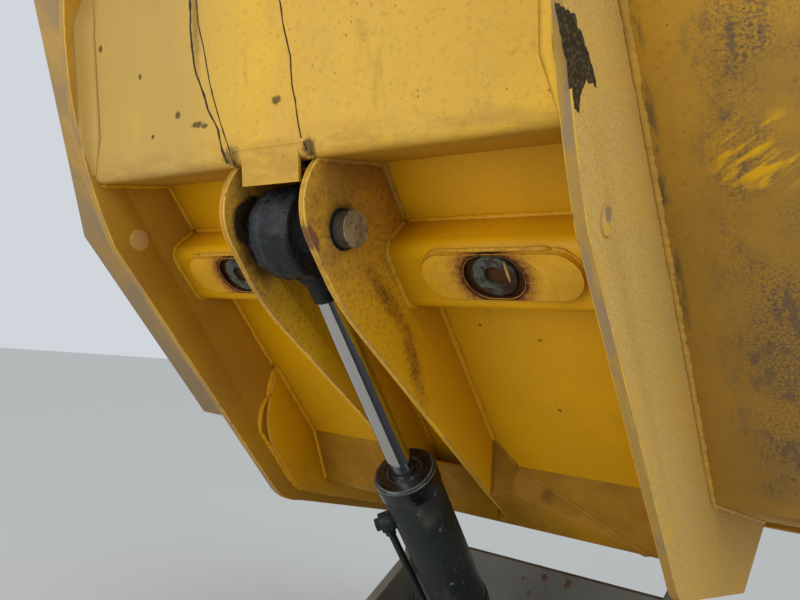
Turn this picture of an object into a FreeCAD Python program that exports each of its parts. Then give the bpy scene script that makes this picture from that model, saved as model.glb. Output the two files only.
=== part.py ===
import FreeCAD, Part
import math
import os

V = FreeCAD.Vector

# Tipping skip of a site dumper with its tip ram, on the hinge frame at the front of the chassis.
# Millimetres. +X is the machine's right, +Y its way forward, +Z up.
# Origin: middle of the frame's bolted base, on its underside.

# Hinge, ram foot and tip angle
tip_now = 45.0             # how far the skip is tipped forward as it stands
hinge_y = 152.0            # skip hinge axis, from the origin
hinge_z = 561.0
foot_z = 115.0             # ram foot pin axis, straight above the origin
head_to_hinge_y = 1240.0   # from the ram's head pin to the hinge, with the skip lowered
head_to_hinge_z = 335.0
pin_r = 30.0               # all the big pins
pin_play = 0.4             # radial running clearance on them
pin_proud = 17.0           # head pin past each ear

# Skip, in its own frame: y forward and z up with the skip lowered, both from the head pin
sheet = 8.0                # tub sheet
web_x = 489.0              # inner face of a web
web_t = 18.0
web_low = -34.0            # flat lower edge of the webs
pan_z = 152.0              # underside of the box pan between the webs
pan_t = 6.0
pan_end_y = 727.0          # crease where the pan turns down into the front box
floor_z = 230.0            # underside of the tub floor
floor_front_y = 837.0      # fold between the floor and the ramp
floor_rear_y = -508.0
ramp_slope = 0.695         # rise of the front ramp over its run
ramp_end_y = 1530.0
rim_z = 902.0              # top edge of the tub
half_width = 1097.0        # floor's outer edge
corner_y = 127.0           # where the rear corner panels start
rear_half_width = 651.0
side_lean = 60.0           # how far each wall leans out over the tub's height
corner_lean = 110.0
rear_lean = 170.0
ear_x = 83.0               # inner face of a ram ear
ear_t = 12.0
ear_end_y = 880.0
doubler_t = 12.0           # on the webs' inner faces, round the hinge
plug_r = 21.0              # round plug through each web, proud of both faces
plug_proud = 3.5
plug_y = 18.0
plug_z = 22.0
pad_rear_y = 92.0          # pads under the cross channels
pad_front_y = 182.0
pad_low_z = 58.0
pad_inner_x = 160.0
pad_outer_x = 442.0
pad_hole_x = 294.0
pad_hole_half = 53.0
toe_z = 102.0              # flat gussets and plate at the ears' front ends
rim_w = 45.0               # flange round the tub's top edge
rim_drop = 32.0            # and its turned-down edge
lip_bar_w = 100.0          # wear bar under the tub's front lip
lip_bar_t = 14.0
lug_x = 396.0              # inner face of a hinge lug on the skip
lug_t = 25.0

# Frame
side_x = 360.0             # inner face of a frame side
side_t = 30.0
base_t = 20.0
base_half_x = 440.0
base_rear_y = -323.0
base_front_y = 290.0
lug_r = 62.0
bolt_x = 830.0             # bolt spacings in the base
bolt_y = 500.0
bolt_r = 13.0

# Ram
barrel_r = 63.0
barrel_bore_r = 52.0
barrel_start = 66.0        # from the foot pin, along the ram
gland_end = 894.0
gland_length = 46.0
rod_r = 25.0
rod_play = 0.1
wiper_r = 36.0
rod_inner_end = 630.0
eye_r = 74.0
eye_half = 42.0
spacer_r = 50.0            # rings between the eye and the ears
ear_gap = 5.0
neck_r = 27.0              # blackened end of the rod, behind the eye
neck_length = 130.0
port_at = 778.0            # oil port, from the foot pin
low_port_at = 165.0
port_turn = 41.0           # degrees they sit round the barrel, from the left towards the underside
port_r = 21.0
port_length = 28.0
pipe_r = 8.0
foot_eye_r = 58.0
foot_eye_half = 62.0
foot_gap = 6.0             # between the foot eye and each lug
foot_lug_t = 25.0

os.makedirs("parts", exist_ok=True)


def prism_x(x0, x1, start, *steps):
    """Closed outline in Y and Z, pushed from x0 to x1.

    A step is a point (y, z) for a line, or (y, z, y, z) for an arc through the first point.
    """
    here = V(x0, *start)
    edges = []
    for step in steps + (start,):
        there = V(x0, step[-2], step[-1])
        if len(step) == 4:
            edges.append(Part.Arc(here, V(x0, step[0], step[1]), there).toShape())
        elif here.distanceToPoint(there) > 0.01:
            edges.append(Part.LineSegment(here, there).toShape())
        here = there
    return Part.Face(Part.Wire(edges)).extrude(V(x1 - x0, 0, 0))


def bend(corner, r):
    """Start, middle and end of an arc of radius r that rounds the middle one of three points."""
    (y0, z0), (y, z), (y1, z1) = corner
    a = math.hypot(y0 - y, z0 - z)
    b = math.hypot(y1 - y, z1 - z)
    u = ((y0 - y) / a, (z0 - z) / a)
    w = ((y1 - y) / b, (z1 - z) / b)
    half = math.acos(u[0] * w[0] + u[1] * w[1]) / 2
    reach = r / math.tan(half)
    size = math.hypot(u[0] + w[0], u[1] + w[1])
    away = r / math.sin(half) - r
    middle = (y + away * (u[0] + w[0]) / size, z + away * (u[1] + w[1]) / size)
    return (y + reach * u[0], z + reach * u[1]), middle, (y + reach * w[0], z + reach * w[1])


def sheet_x(x0, x1, thickness, *points, bends=None):
    """Folded sheet that runs along X: points (y, z) are its lower side, and it lies on their left.

    bends gives the inner radius of a fold by its point's number.
    """
    upper = []
    for i, (y, z) in enumerate(points):
        before = points[max(i - 1, 0)]
        after = points[min(i + 1, len(points) - 1)]
        a = normal(before, (y, z)) if i > 0 else normal((y, z), after)
        b = normal((y, z), after) if i < len(points) - 1 else a
        grow = thickness / (1.0 + a[0] * b[0] + a[1] * b[1])
        upper.append((y + grow * (a[0] + b[0]), z + grow * (a[1] + b[1])))
    steps = []
    for side, ahead, extra in [(points, 1, thickness), (upper, -1, 0)]:
        for i in range(len(side))[::ahead]:
            if bends and i in bends:
                start, middle, end = bend(side[i - 1:i + 2][::ahead], bends[i] + extra)
                steps += [start, middle + end]
            else:
                steps.append(side[i])
    return prism_x(x0, x1, steps[0], *steps[1:])


def normal(p, q):
    length = math.hypot(q[0] - p[0], q[1] - p[1])
    return (-(q[1] - p[1]) / length, (q[0] - p[0]) / length)


def tube_x(x0, x1, radius, y=0.0, z=0.0):
    return Part.makeCylinder(radius, x1 - x0, V(x0, y, z), V(1, 0, 0))


def box(x0, x1, y0, y1, z0, z1):
    return Part.makeBox(x1 - x0, y1 - y0, z1 - z0, V(x0, y0, z0))


def mirrored(shape):
    return shape.mirror(V(0, 0, 0), V(1, 0, 0))


def save(node, shape):
    solids = shape.removeSplitter().Solids
    whole = solids[0] if len(solids) == 1 else Part.makeCompound(solids)
    assert whole.isValid(), node
    whole.exportStep("parts/%s.step" % node)
    print("%-22s solids %d  kg %7.1f" % (node, len(solids), whole.Volume * 7.85e-6))


def save_pair(node, shape, place):
    """The piece as modelled on the right, and its mirror image on the left."""
    save(node + "_right", place(shape))
    save(node + "_left", place(mirrored(shape)))


# Head pin in the photo's pose
tip = math.radians(tip_now)
head_y = hinge_y - head_to_hinge_y * math.cos(tip) - head_to_hinge_z * math.sin(tip)
head_z = hinge_z + head_to_hinge_y * math.sin(tip) - head_to_hinge_z * math.cos(tip)
ram_length = math.hypot(head_y, head_z - foot_z)
ram_lean = math.degrees(math.atan2(-head_y, head_z - foot_z))
print("head pin y %.1f z %.1f  ram %.1f long, leaning %.2f" % (head_y, head_z, ram_length, ram_lean))


def on_skip(shape):
    moved = shape.copy()
    moved.rotate(V(0, 0, 0), V(1, 0, 0), -tip_now)
    moved.translate(V(0, head_y, head_z))
    return moved


def on_ram(shape):
    moved = shape.copy()
    moved.rotate(V(0, 0, 0), V(1, 0, 0), ram_lean)
    moved.translate(V(0, 0, foot_z))
    return moved


def on_frame(shape):
    return shape.copy()


def ramp_z(y):
    """Underside of the tub's front ramp."""
    return floor_z + ramp_slope * (y - floor_front_y)


# Frame: two sides with hinge lugs, a beam and a rear plate between them, on a bolted base
def frame_side():
    h, v = hinge_y, hinge_z
    outline = prism_x(
        side_x, side_x + side_t, (h - lug_r, v),
        (h - lug_r, v - 50), (h - 122, v - 73), (h - 130, v - 132), (h - 308, v - 234),
        (base_rear_y, v - 330), (base_rear_y, base_t), (base_front_y, base_t),
        (h + 110, v - 200), (h + lug_r, v), (h, v + lug_r, h - lug_r, v))
    return outline.cut(tube_x(side_x - 1, side_x + side_t + 1, pin_r, h, v))


save_pair("frame_side", frame_side(), on_frame)
beam_rear_y = hinge_y - 115
beam_t = 25.0
save("frame_beam", box(-side_x, side_x, beam_rear_y, beam_rear_y + beam_t, 250, hinge_z - 75))
save("frame_rear_plate", box(-side_x, side_x, base_rear_y, base_rear_y + 20, base_t, 70))
base = box(-base_half_x, base_half_x, base_rear_y, base_front_y, 0, base_t)
for x in (-bolt_x / 2, bolt_x / 2):
    for y in (-bolt_y / 2, bolt_y / 2):
        base = base.cut(Part.makeCylinder(bolt_r, base_t + 2, V(x, y, -1)))
save("frame_base", base)

foot_lug_x = foot_eye_half + foot_gap
foot_lug = prism_x(
    foot_lug_x, foot_lug_x + foot_lug_t, (-130, base_t), (130, base_t), (62, foot_z),
    (0, foot_z + 62, -62, foot_z))
foot_lug = foot_lug.cut(tube_x(0, 200, pin_r, 0, foot_z))
save_pair("ram_foot_lug", foot_lug, on_frame)
foot_pin_half = foot_lug_x + foot_lug_t + 14
save("ram_foot_pin", tube_x(-foot_pin_half, foot_pin_half, pin_r, 0, foot_z))
hinge_pin = tube_x(side_x, lug_x + lug_t + 16, pin_r, hinge_y, hinge_z)
save_pair("hinge_pin", hinge_pin, on_frame)
keeper = box(side_x - 12, side_x, hinge_y - 14, hinge_y + 14, hinge_z - 72, hinge_z + 14)
save_pair("hinge_keeper", keeper, on_frame)
gusset_w = 46.0
gusset_high = 110.0
gusset_outline = [(side_x + side_t, base_t), (side_x + side_t + gusset_w, base_t),
                  (side_x + side_t, base_t + gusset_high), (side_x + side_t, base_t)]
gussets = Part.makeCompound([
    Part.Face(Part.makePolygon([V(x, y, z) for x, z in gusset_outline])).extrude(V(0, 12, 0))
    for y in (-160, -6, 148)])
save_pair("frame_gusset", gussets, on_frame)

# Tub: flat floor, front ramp, and walls that lean out
corner_run = corner_y - floor_rear_y
corner_step = half_width - rear_half_width
corner_length = math.hypot(corner_run, corner_step)
corner_normal = (corner_run / corner_length, -corner_step / corner_length)
corner_offset = corner_normal[0] * half_width + corner_normal[1] * corner_y


def tub_outline(share, out=0.0):
    """Plan corners of the right half at this share of the tub's height, moved out: side, rear."""
    x = half_width + side_lean * share + out
    reach = corner_offset + corner_lean * share + out
    y_side = (reach - corner_normal[0] * x) / corner_normal[1]
    y_rear = floor_rear_y - rear_lean * share - out
    x_rear = (reach - corner_normal[1] * y_rear) / corner_normal[0]
    return (x, y_side), (x_rear, y_rear)


tub_height = rim_z - floor_z
low_side, low_rear = tub_outline(0.0)
top_side, top_rear = tub_outline(1.0)
lip_z = ramp_z(ramp_end_y)
lip_share = (lip_z - floor_z) / tub_height
shoulder_y = 900.0         # where the side's top edge starts to fall towards the lip
lip_side_x = half_width + side_lean * lip_share

floor_right = [low_rear, low_side, (half_width, floor_front_y)]
floor_left = [(-x, y) for x, y in reversed(floor_right)]
floor_plan = Part.makePolygon([V(*p, floor_z) for p in floor_right + floor_left + floor_right[:1]])
floor_plate = Part.Face(floor_plan).extrude(V(0, 0, sheet))


def wall(corners, inward):
    """Sheet whose outer face has these corners, thick towards a point inside the tub."""
    points = [V(*c) for c in corners]
    face = Part.Face(Part.makePolygon(points + points[:1]))
    across = (points[1] - points[0]).cross(points[2] - points[0]).normalize()
    if across.dot(V(*inward) - points[0]) < 0:
        across = across * -1
    return face.extrude(across * sheet)


inside = (0, 200, 700)


def side_x_at(z):
    return half_width + side_lean * (z - floor_z) / tub_height


lip_top_z = lip_z + 70
side_wall = wall(
    [(low_side[0], low_side[1], floor_z), (half_width, floor_front_y, floor_z),
     (side_x_at(lip_z), ramp_end_y, lip_z), (side_x_at(lip_top_z), ramp_end_y, lip_top_z),
     (side_x_at(rim_z), shoulder_y, rim_z), (top_side[0], top_side[1], rim_z)], inside)
corner_wall = wall(
    [(low_side[0], low_side[1], floor_z), (top_side[0], top_side[1], rim_z),
     (top_rear[0], top_rear[1], rim_z), (low_rear[0], low_rear[1], floor_z)], inside)
rear_wall = wall(
    [(low_rear[0], low_rear[1], floor_z), (top_rear[0], top_rear[1], rim_z),
     (-top_rear[0], top_rear[1], rim_z), (-low_rear[0], low_rear[1], floor_z)], inside)
ramp = sheet_x(-half_width - side_lean, half_width + side_lean, sheet,
               (floor_front_y, floor_z), (ramp_end_y, lip_z))
floor_plate = floor_plate.cut(ramp)
outer_trim = Part.Face(Part.makePolygon([
    V(half_width, 0, floor_z), V(side_x_at(rim_z), 0, rim_z), V(half_width + 400, 0, rim_z),
    V(half_width + 400, 0, floor_z - 60), V(half_width, 0, floor_z - 60), V(half_width, 0, floor_z)]))
outer_trim = outer_trim.extrude(V(0, 2000, 0))
ramp = ramp.cut(outer_trim).cut(mirrored(outer_trim))
above_rim = box(-2000, 2000, -1000, ramp_end_y, rim_z, rim_z + 50)
side_wall = side_wall.cut(ramp).cut(floor_plate).cut(above_rim)
corner_wall = corner_wall.cut(side_wall).cut(floor_plate).cut(above_rim)
rear_wall = rear_wall.cut(corner_wall).cut(mirrored(corner_wall)).cut(floor_plate).cut(above_rim)
save("skip_floor", on_skip(floor_plate))
save("skip_ramp", on_skip(ramp))
save_pair("skip_side", side_wall, on_skip)
save_pair("skip_corner", corner_wall, on_skip)
save("skip_rear_wall", on_skip(rear_wall))


# Webs under the tub, with a round plug and, round the hinge, a doubler inside
def web():
    x1 = web_x + web_t
    shape = prism_x(
        web_x, x1, (-504, floor_z), (-436, 160), (-235, 40, 0, web_low), (754, web_low),
        (808, -20, 850, 9), (1340, 349), (1450, ramp_z(1450)), (floor_front_y, floor_z))
    return shape.fuse(tube_x(web_x - plug_proud, x1 + plug_proud, plug_r, plug_y, plug_z))


save_pair("skip_web", web(), on_skip)
doubler = prism_x(
    web_x - doubler_t, web_x, (493, pan_z), (542, 87), (570, 56, 602, 36), (630, 24, 655, 20), (742, 18),
    (780, 18, 823, 30), (991, 140), (1330, 374), (1330, ramp_z(1330)), (floor_front_y, floor_z), (pan_end_y, pan_z))
save_pair("skip_doubler", doubler, on_skip)


# Box pan between the webs, with the ram ears through it
ear_foot = (741, 72)       # bend in an ear's lower edge, where the toe box starts


def ear():
    shape = prism_x(
        ear_x, ear_x + ear_t, (-36, pan_z), (-119, 16), (-91, -44, -25, -73), (60, -76), (110, -72, 165, -62),
        ear_foot, (ear_end_y, toe_z + sheet), (ear_end_y, toe_z + 12), (pan_end_y, pan_z))
    return shape.cut(tube_x(0, 200, pin_r))


save_pair("ram_ear", ear(), on_skip)
head_pin = tube_x(ear_x, ear_x + ear_t + pin_proud, pin_r)
save_pair("head_pin", head_pin, on_skip)

ears = Part.makeCompound([ear(), mirrored(ear())])
doublers = Part.makeCompound([doubler, mirrored(doubler)])
save("skip_pan", on_skip(sheet_x(-web_x, web_x, pan_t, (-35, pan_z), (pan_end_y, pan_z))))
low_lip = (-125.0, 5.0)    # lower edge of the rear box
tab_half = 63.0            # flat tab below it, between drain notches
lip_bend = 12.0
pocket_deep = 25.0         # pocket behind the ram's eye, between the ears
rear_box = sheet_x(
    -web_x, web_x, pan_t, (-441, floor_z), (-365, 164), low_lip, (-35, pan_z), bends={2: lip_bend})
window = box(-ear_x, ear_x, -112, -30, 12, pan_z - 1)
slope = math.atan2(low_lip[1] - 164, low_lip[0] + 365)


def down_panel(run):
    """Point on the rear box's outer side, this far past its lip along the panel."""
    return (low_lip[0] + run * math.cos(slope), low_lip[1] + run * math.sin(slope))


tab = sheet_x(-tab_half, tab_half, pan_t, down_panel(-30), down_panel(33))
back = normal(low_lip, (-35, pan_z))
recess_line = [low_lip, (-35, pan_z)]
pocket_line = [(y + pocket_deep * back[0], z + pocket_deep * back[1]) for y, z in recess_line]
pocket = sheet_x(-ear_x - pan_t, ear_x + pan_t, pan_t, *pocket_line)
closer = prism_x(ear_x, ear_x + pan_t, recess_line[0], recess_line[1], pocket_line[1], pocket_line[0])
rear_box = rear_box.cut(window).fuse([tab, pocket, closer, mirrored(closer)]).cut(ears).cut(floor_plate)
save("skip_rear_box", on_skip(rear_box.common(box(-web_x, web_x, -600, -35, -60, floor_z))))
front_box = sheet_x(
    -web_x, web_x, pan_t, (pan_end_y, pan_z), (ear_end_y, toe_z), (965, 160), (965, ramp_z(965)), bends={1: 6.0})
save("skip_front_box", on_skip(front_box.cut(ears).cut(doublers).cut(ramp)))

# Toe boxes: each closes the corner between an ear, the pan and the front box
toe_outer = ear_x + ear_t
toe_rear_y = 650.0         # where a toe box leaves the pan, on the ear
toe_points = {
    "rear": (toe_outer, toe_rear_y, pan_z),
    "crease": (toe_outer, pan_end_y, pan_z),
    "crease_out": (toe_outer + 36, pan_end_y, pan_z),
    "foot": (toe_outer, *ear_foot),
    "knee": (toe_outer + 27, 763, toe_z + 2),
    "front": (toe_outer, ear_end_y, toe_z),
    "far": (405, ear_end_y, toe_z),
}
toe_faces = [
    ("rear", "crease", "crease_out"),
    ("crease", "front", "far", "crease_out"),
    ("rear", "foot", "front", "crease"),
    ("rear", "crease_out", "knee"),
    ("rear", "knee", "foot"),
    ("crease_out", "far", "knee"),
    ("foot", "knee", "front"),
    ("knee", "far", "front"),
]


def polyhedron(points, faces):
    sides = []
    for names in faces:
        corners = [V(*points[n]) for n in names]
        sides.append(Part.Face(Part.makePolygon(corners + corners[:1])))
    return Part.makeSolid(Part.makeShell(sides))


toe_box = polyhedron(toe_points, toe_faces)
if toe_box.Volume < 0:
    toe_box.reverse()
save_pair("toe_gusset", toe_box, on_skip)

# Plate between the ears' front ends
wedge = prism_x(-web_x, web_x, (690, toe_z), (ear_end_y, toe_z), (pan_end_y, pan_z), (690, pan_z))


def toe(*plan):
    points = [V(x, y, toe_z) for x, y in plan]
    return Part.Face(Part.makePolygon(points + points[:1])).extrude(V(0, 0, sheet)).common(wedge)


toe_plate = toe((-ear_x, 700), (ear_x, 700), (ear_x, 795), (ear_x - 26, ear_end_y),
                (26 - ear_x, ear_end_y), (-ear_x, 795))
save("toe_plate", on_skip(toe_plate))


# Cross channels from the ears to the webs, each with a pad round a sunk boss
channel_low_z = 70.0
channel_t = 6.0


def channel(inset):
    r = 25 - inset
    c = math.sqrt(0.5) * r
    y0, y1, low = 82 + inset, 222 - inset, channel_low_z + inset
    return prism_x(
        ear_x + ear_t, web_x, (y0, pan_z), (y0, low + r), (y0 + r - c, low + r - c, y0 + r, low),
        (y1 - r, low), (y1 - r + c, low + r - c, y1, low + r), (y1, pan_z))


save_pair("cross_channel", channel(0).cut(channel(channel_t)), on_skip)
pad_mid_y = (pad_front_y + pad_rear_y) / 2


def obround(x0, x1, half, z):
    """Flat bar in plan with half-round ends."""
    corners = [(x0 + half, -half), (x1 - half, -half), (x1 - half, half), (x0 + half, half)]
    a, b, c, d = [V(x, pad_mid_y + y, z) for x, y in corners]
    right_end = Part.Arc(b, V(x1, pad_mid_y, z), c)
    left_end = Part.Arc(d, V(x0, pad_mid_y, z), a)
    sides = [Part.LineSegment(a, b), right_end, Part.LineSegment(c, d), left_end]
    return Part.Face(Part.Wire([side.toShape() for side in sides]))


pad_half = (pad_front_y - pad_rear_y) / 2
pad = obround(pad_inner_x, pad_outer_x, pad_half, pad_low_z)
pad = pad.cut(obround(pad_hole_x - pad_hole_half, pad_hole_x + pad_hole_half, pad_half - 4, pad_low_z))
save_pair("rest_pad", pad.extrude(V(0, 0, channel_low_z - pad_low_z)), on_skip)
boss_low_z = pad_low_z + 4
boss = Part.makeCylinder(38, channel_low_z - boss_low_z, V(pad_hole_x, pad_mid_y, boss_low_z))
boss = boss.cut(Part.makeCylinder(18, channel_low_z, V(pad_hole_x, pad_mid_y, 0)))
save_pair("pad_boss", boss, on_skip)

# Hinge lugs under the ramp
h, v = head_to_hinge_y, head_to_hinge_z
hinge_lug = prism_x(
    lug_x, lug_x + lug_t, (h - lug_r, v), (h, v - lug_r, h + lug_r, v), (h + 130, ramp_z(h + 130)),
    (h - 110, ramp_z(h - 110)))
hinge_lug = hinge_lug.cut(tube_x(lug_x - 1, lug_x + lug_t + 1, pin_r + pin_play, h, v))
save_pair("hinge_lug", hinge_lug, on_skip)

# Rim: folded bars round the top edge, mitred at the corners, and down each side to the lip
def rim_bar(ends, out_steps):
    """Top flange and turned-down edge between two mitred ends, each given as a function of the offset."""
    inner, outer, lip = out_steps
    parts = []
    for near, far, low, high in [(inner, outer, 0, sheet), (lip, outer, -rim_drop, 0)]:
        points = [ends[0](near), ends[1](near), ends[1](far), ends[0](far)]
        face = Part.Face(Part.makePolygon([V(x, y, z + low) for x, y, z in points + points[:1]]))
        parts.append(face.extrude(V(0, 0, high - low)))
    return parts[0].fuse(parts[1])


def rim_corner(index, side):
    return lambda out: (side * tub_outline(1.0, out)[index][0], tub_outline(1.0, out)[index][1], rim_z)


def side_end(y, z):
    return lambda out: (side_x_at(z) + out, y, z)


rim_steps = (-sheet, rim_w, rim_w - sheet)
save("rim_rear", on_skip(rim_bar((rim_corner(1, -1), rim_corner(1, 1)), rim_steps)))
save_pair("rim_corner", rim_bar((rim_corner(1, 1), rim_corner(0, 1)), rim_steps), on_skip)
rim_side = rim_bar((rim_corner(0, 1), side_end(shoulder_y, rim_z)), rim_steps)
rim_slope = rim_bar((side_end(shoulder_y, rim_z), side_end(ramp_end_y, lip_top_z)), rim_steps)
save_pair("rim_side", rim_side.fuse(rim_slope.cut(side_wall)), on_skip)

# Wear bar under the lip
bar_gap = lip_bar_t * math.hypot(1, ramp_slope)
bar_ends = [(y, ramp_z(y) - bar_gap) for y in (ramp_end_y - lip_bar_w, ramp_end_y)]
lip_bar = sheet_x(-half_width, half_width, lip_bar_t, *bar_ends)
webs = Part.makeCompound([web(), mirrored(web())])
save("lip_bar", on_skip(lip_bar.cut(webs)))

# Ram, built upright from the foot pin
barrel = Part.makeCylinder(barrel_r, gland_end - gland_length - barrel_start, V(0, 0, barrel_start))
barrel = barrel.cut(Part.makeCylinder(barrel_bore_r, gland_end, V(0, 0, barrel_start + 24)))
save("ram_barrel", on_ram(barrel))
gland_r = barrel_r + 3
chamfer = 5.0
gland = Part.makeCylinder(gland_r, gland_length - chamfer, V(0, 0, gland_end - gland_length))
gland = gland.fuse(Part.makeCone(gland_r, gland_r - chamfer, chamfer, V(0, 0, gland_end - chamfer)))
gland = gland.cut(Part.makeCylinder(wiper_r, 4, V(0, 0, gland_end - 4)))
gland = gland.cut(Part.makeCylinder(rod_r + rod_play, gland_length, V(0, 0, gland_end - gland_length)))
save("ram_gland", on_ram(gland))
foot_eye = tube_x(-foot_eye_half, foot_eye_half, foot_eye_r)
foot_eye = foot_eye.fuse(box(-foot_eye_half, foot_eye_half, -40, 40, 0, barrel_start))
foot_eye = foot_eye.cut(tube_x(-200, 200, pin_r + pin_play))
save("ram_foot_eye", on_ram(foot_eye))


def beside_barrel(shape):
    """Turns a piece that lies left of the barrel down to the ports' side."""
    turned = shape.copy()
    turned.rotate(V(0, 0, 0), V(0, 0, 1), port_turn)
    return on_ram(turned)


ports = []
for at in (port_at, low_port_at):
    port = Part.makeCylinder(port_r, barrel_r + port_length, V(0, 0, at), V(-1, 0, 0))
    ports.append(port.cut(Part.makeCylinder(barrel_r, 4 * port_r, V(0, 0, at - 2 * port_r))))
pipe = Part.makeCylinder(pipe_r, port_at - low_port_at, V(-barrel_r - port_length + pipe_r + 4, 0, low_port_at))
save("ram_port_upper", beside_barrel(ports[0]))
save("ram_port_lower", beside_barrel(ports[1]))
save("ram_pipe", beside_barrel(pipe.cut(ports[0]).cut(ports[1])))

rod = Part.makeCylinder(rod_r, ram_length - neck_length - rod_inner_end, V(0, 0, rod_inner_end))
save("ram_rod", on_ram(rod))
head_eye = tube_x(-eye_half, eye_half, eye_r, 0, ram_length)
spacer_x = ear_x - ear_gap
head_eye = head_eye.fuse(tube_x(-spacer_x, spacer_x, spacer_r, 0, ram_length))
head_eye = head_eye.fuse(Part.makeCylinder(neck_r, neck_length, V(0, 0, ram_length - neck_length)))
head_eye = head_eye.fuse(Part.makeCone(neck_r, neck_r + 16, 30, V(0, 0, ram_length - eye_r - 24)))
pin_core = tube_x(-spacer_x, spacer_x, pin_r, 0, ram_length)
save("rod_eye", on_ram(head_eye.cut(pin_core)))
save("rod_eye_pin", on_ram(pin_core))
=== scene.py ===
import math
import bmesh
import bpy
from mathutils import Matrix, Vector, noise


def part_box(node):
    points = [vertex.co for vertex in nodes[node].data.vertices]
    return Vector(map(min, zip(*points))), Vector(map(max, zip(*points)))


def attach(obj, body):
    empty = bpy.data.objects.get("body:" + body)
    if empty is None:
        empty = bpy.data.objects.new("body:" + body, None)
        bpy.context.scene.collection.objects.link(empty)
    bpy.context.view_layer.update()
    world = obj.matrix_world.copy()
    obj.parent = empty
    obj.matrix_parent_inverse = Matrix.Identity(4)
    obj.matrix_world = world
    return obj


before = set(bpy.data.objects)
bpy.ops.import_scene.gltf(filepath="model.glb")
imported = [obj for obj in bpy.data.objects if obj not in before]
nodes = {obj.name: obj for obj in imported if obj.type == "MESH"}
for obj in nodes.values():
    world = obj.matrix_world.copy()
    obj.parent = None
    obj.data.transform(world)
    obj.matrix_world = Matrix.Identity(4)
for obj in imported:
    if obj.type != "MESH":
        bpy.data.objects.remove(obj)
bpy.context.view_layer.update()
print("frame loaded:", len(nodes), "nodes")

# The skip's own frame: y forward and z up with the skip lowered, both from the ram's head pin
skipFrame = {
    "tip": math.radians(45),
    "pinY": sum(v[1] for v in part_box("head_pin_right")) / 2,
    "pinZ": sum(v[2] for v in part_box("head_pin_right")) / 2,
}
toRow = (Matrix.Translation((0, skipFrame["pinY"], skipFrame["pinZ"]))
         @ Matrix.Rotation(-skipFrame["tip"], 4, "X"))
toSkip = toRow.inverted()
mm = 0.001

# The ram's own frame: z along the ram from its foot pin, y at right angles to it
footPin = sum(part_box("ram_foot_pin"), Vector()) / 2
headPin = toRow @ Vector((0, 0, 0))
ramLean = math.atan2(footPin.y - headPin.y, headPin.z - footPin.z)
ramLength = (headPin - footPin).length / mm

# From millimetres in each of these frames to metres in the row's
onSkip = toRow @ Matrix.Scale(mm, 4)
onRam = Matrix.Translation(footPin) @ Matrix.Rotation(ramLean, 4, "X") @ Matrix.Scale(mm, 4)
onFrame = Matrix.Scale(mm, 4)


# Camera: where the photographer stood, low behind the right rear corner of the raised skip
cameraSetup = {
    "fromPin": (0.8226, -0.8388, -0.1981),
    "right": (0.81199, 0.57633, 0.09229),
    "up": (-0.02543, -0.12303, 0.99208),
    "lensMm": 31.79, "sensorMm": 36.0, "clip": (0.05, 200),
}


def makeCamera(s):
    data = bpy.data.cameras.new("photoCamera")
    data.lens = s["lensMm"]
    data.sensor_width = s["sensorMm"]
    data.clip_start, data.clip_end = s["clip"]
    obj = bpy.data.objects.new("photoCamera", data)
    bpy.context.scene.collection.objects.link(obj)
    right = Vector(s["right"]).normalized()
    up = (Vector(s["up"]) - Vector(s["up"]).dot(right) * right).normalized()
    place = Matrix((right, up, right.cross(up))).transposed().to_4x4()
    place.translation = headPin + Vector(s["fromPin"])
    obj.matrix_world = place
    bpy.context.scene.camera = obj


makeCamera(cameraSetup)
bpy.context.scene.view_settings.view_transform = "Standard"
print("camera placed")


# Colours and nodes
def colour(code):        # sRGB hex to linear
    parts = [int(code[i:i + 2], 16) / 255 for i in (1, 3, 5)]
    return tuple(c / 12.92 if c <= 0.04045 else ((c + 0.055) / 1.055) ** 2.4 for c in parts) + (1.0,)


def addNode(tree, kind, links=None, values=None, **settings):
    node = tree.nodes.new(kind)
    for name, value in settings.items():
        setattr(node, name, value)
    for name, value in (values or {}).items():
        node.inputs[name].default_value = value
    for name, source in (links or {}).items():
        tree.links.new(source, node.inputs[name])
    return node


def newMaterial(name):
    mat = bpy.data.materials.new(name)
    mat.use_nodes = True
    tree = mat.node_tree
    tree.nodes.clear()
    shader = tree.nodes.new("ShaderNodeBsdfPrincipled")
    output = tree.nodes.new("ShaderNodeOutputMaterial")
    tree.links.new(shader.outputs[0], output.inputs[0])
    return mat, tree, shader


# Masks: each gives 0 to 1 over a surface, from its place and its normal. Sizes are in millimetres.
def patches(tree, surface, s):         # noise cut between two levels, drawn out by stretch
    drawn = addNode(tree, "ShaderNodeMapping", {"Vector": surface["at"]},
                    {"Scale": s.get("stretch", (1, 1, 1)), "Location": (s.get("shift", 0), 0, 0),
                     "Rotation": (0, 0, math.radians(s.get("turn", 0)))}, vector_type="TEXTURE")
    grain = addNode(tree, "ShaderNodeTexNoise", {"Vector": drawn.outputs[0]},
                    {"Scale": 1 / (s["size"] * mm), "Detail": s.get("detail", 4.0),
                     "Roughness": s.get("grit", 0.55)})
    low, high = s["levels"]
    return addNode(tree, "ShaderNodeMapRange", {"Value": grain.outputs[0]},
                   {"From Min": low, "From Max": high}, interpolation_type="SMOOTHSTEP").outputs[0]


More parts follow.
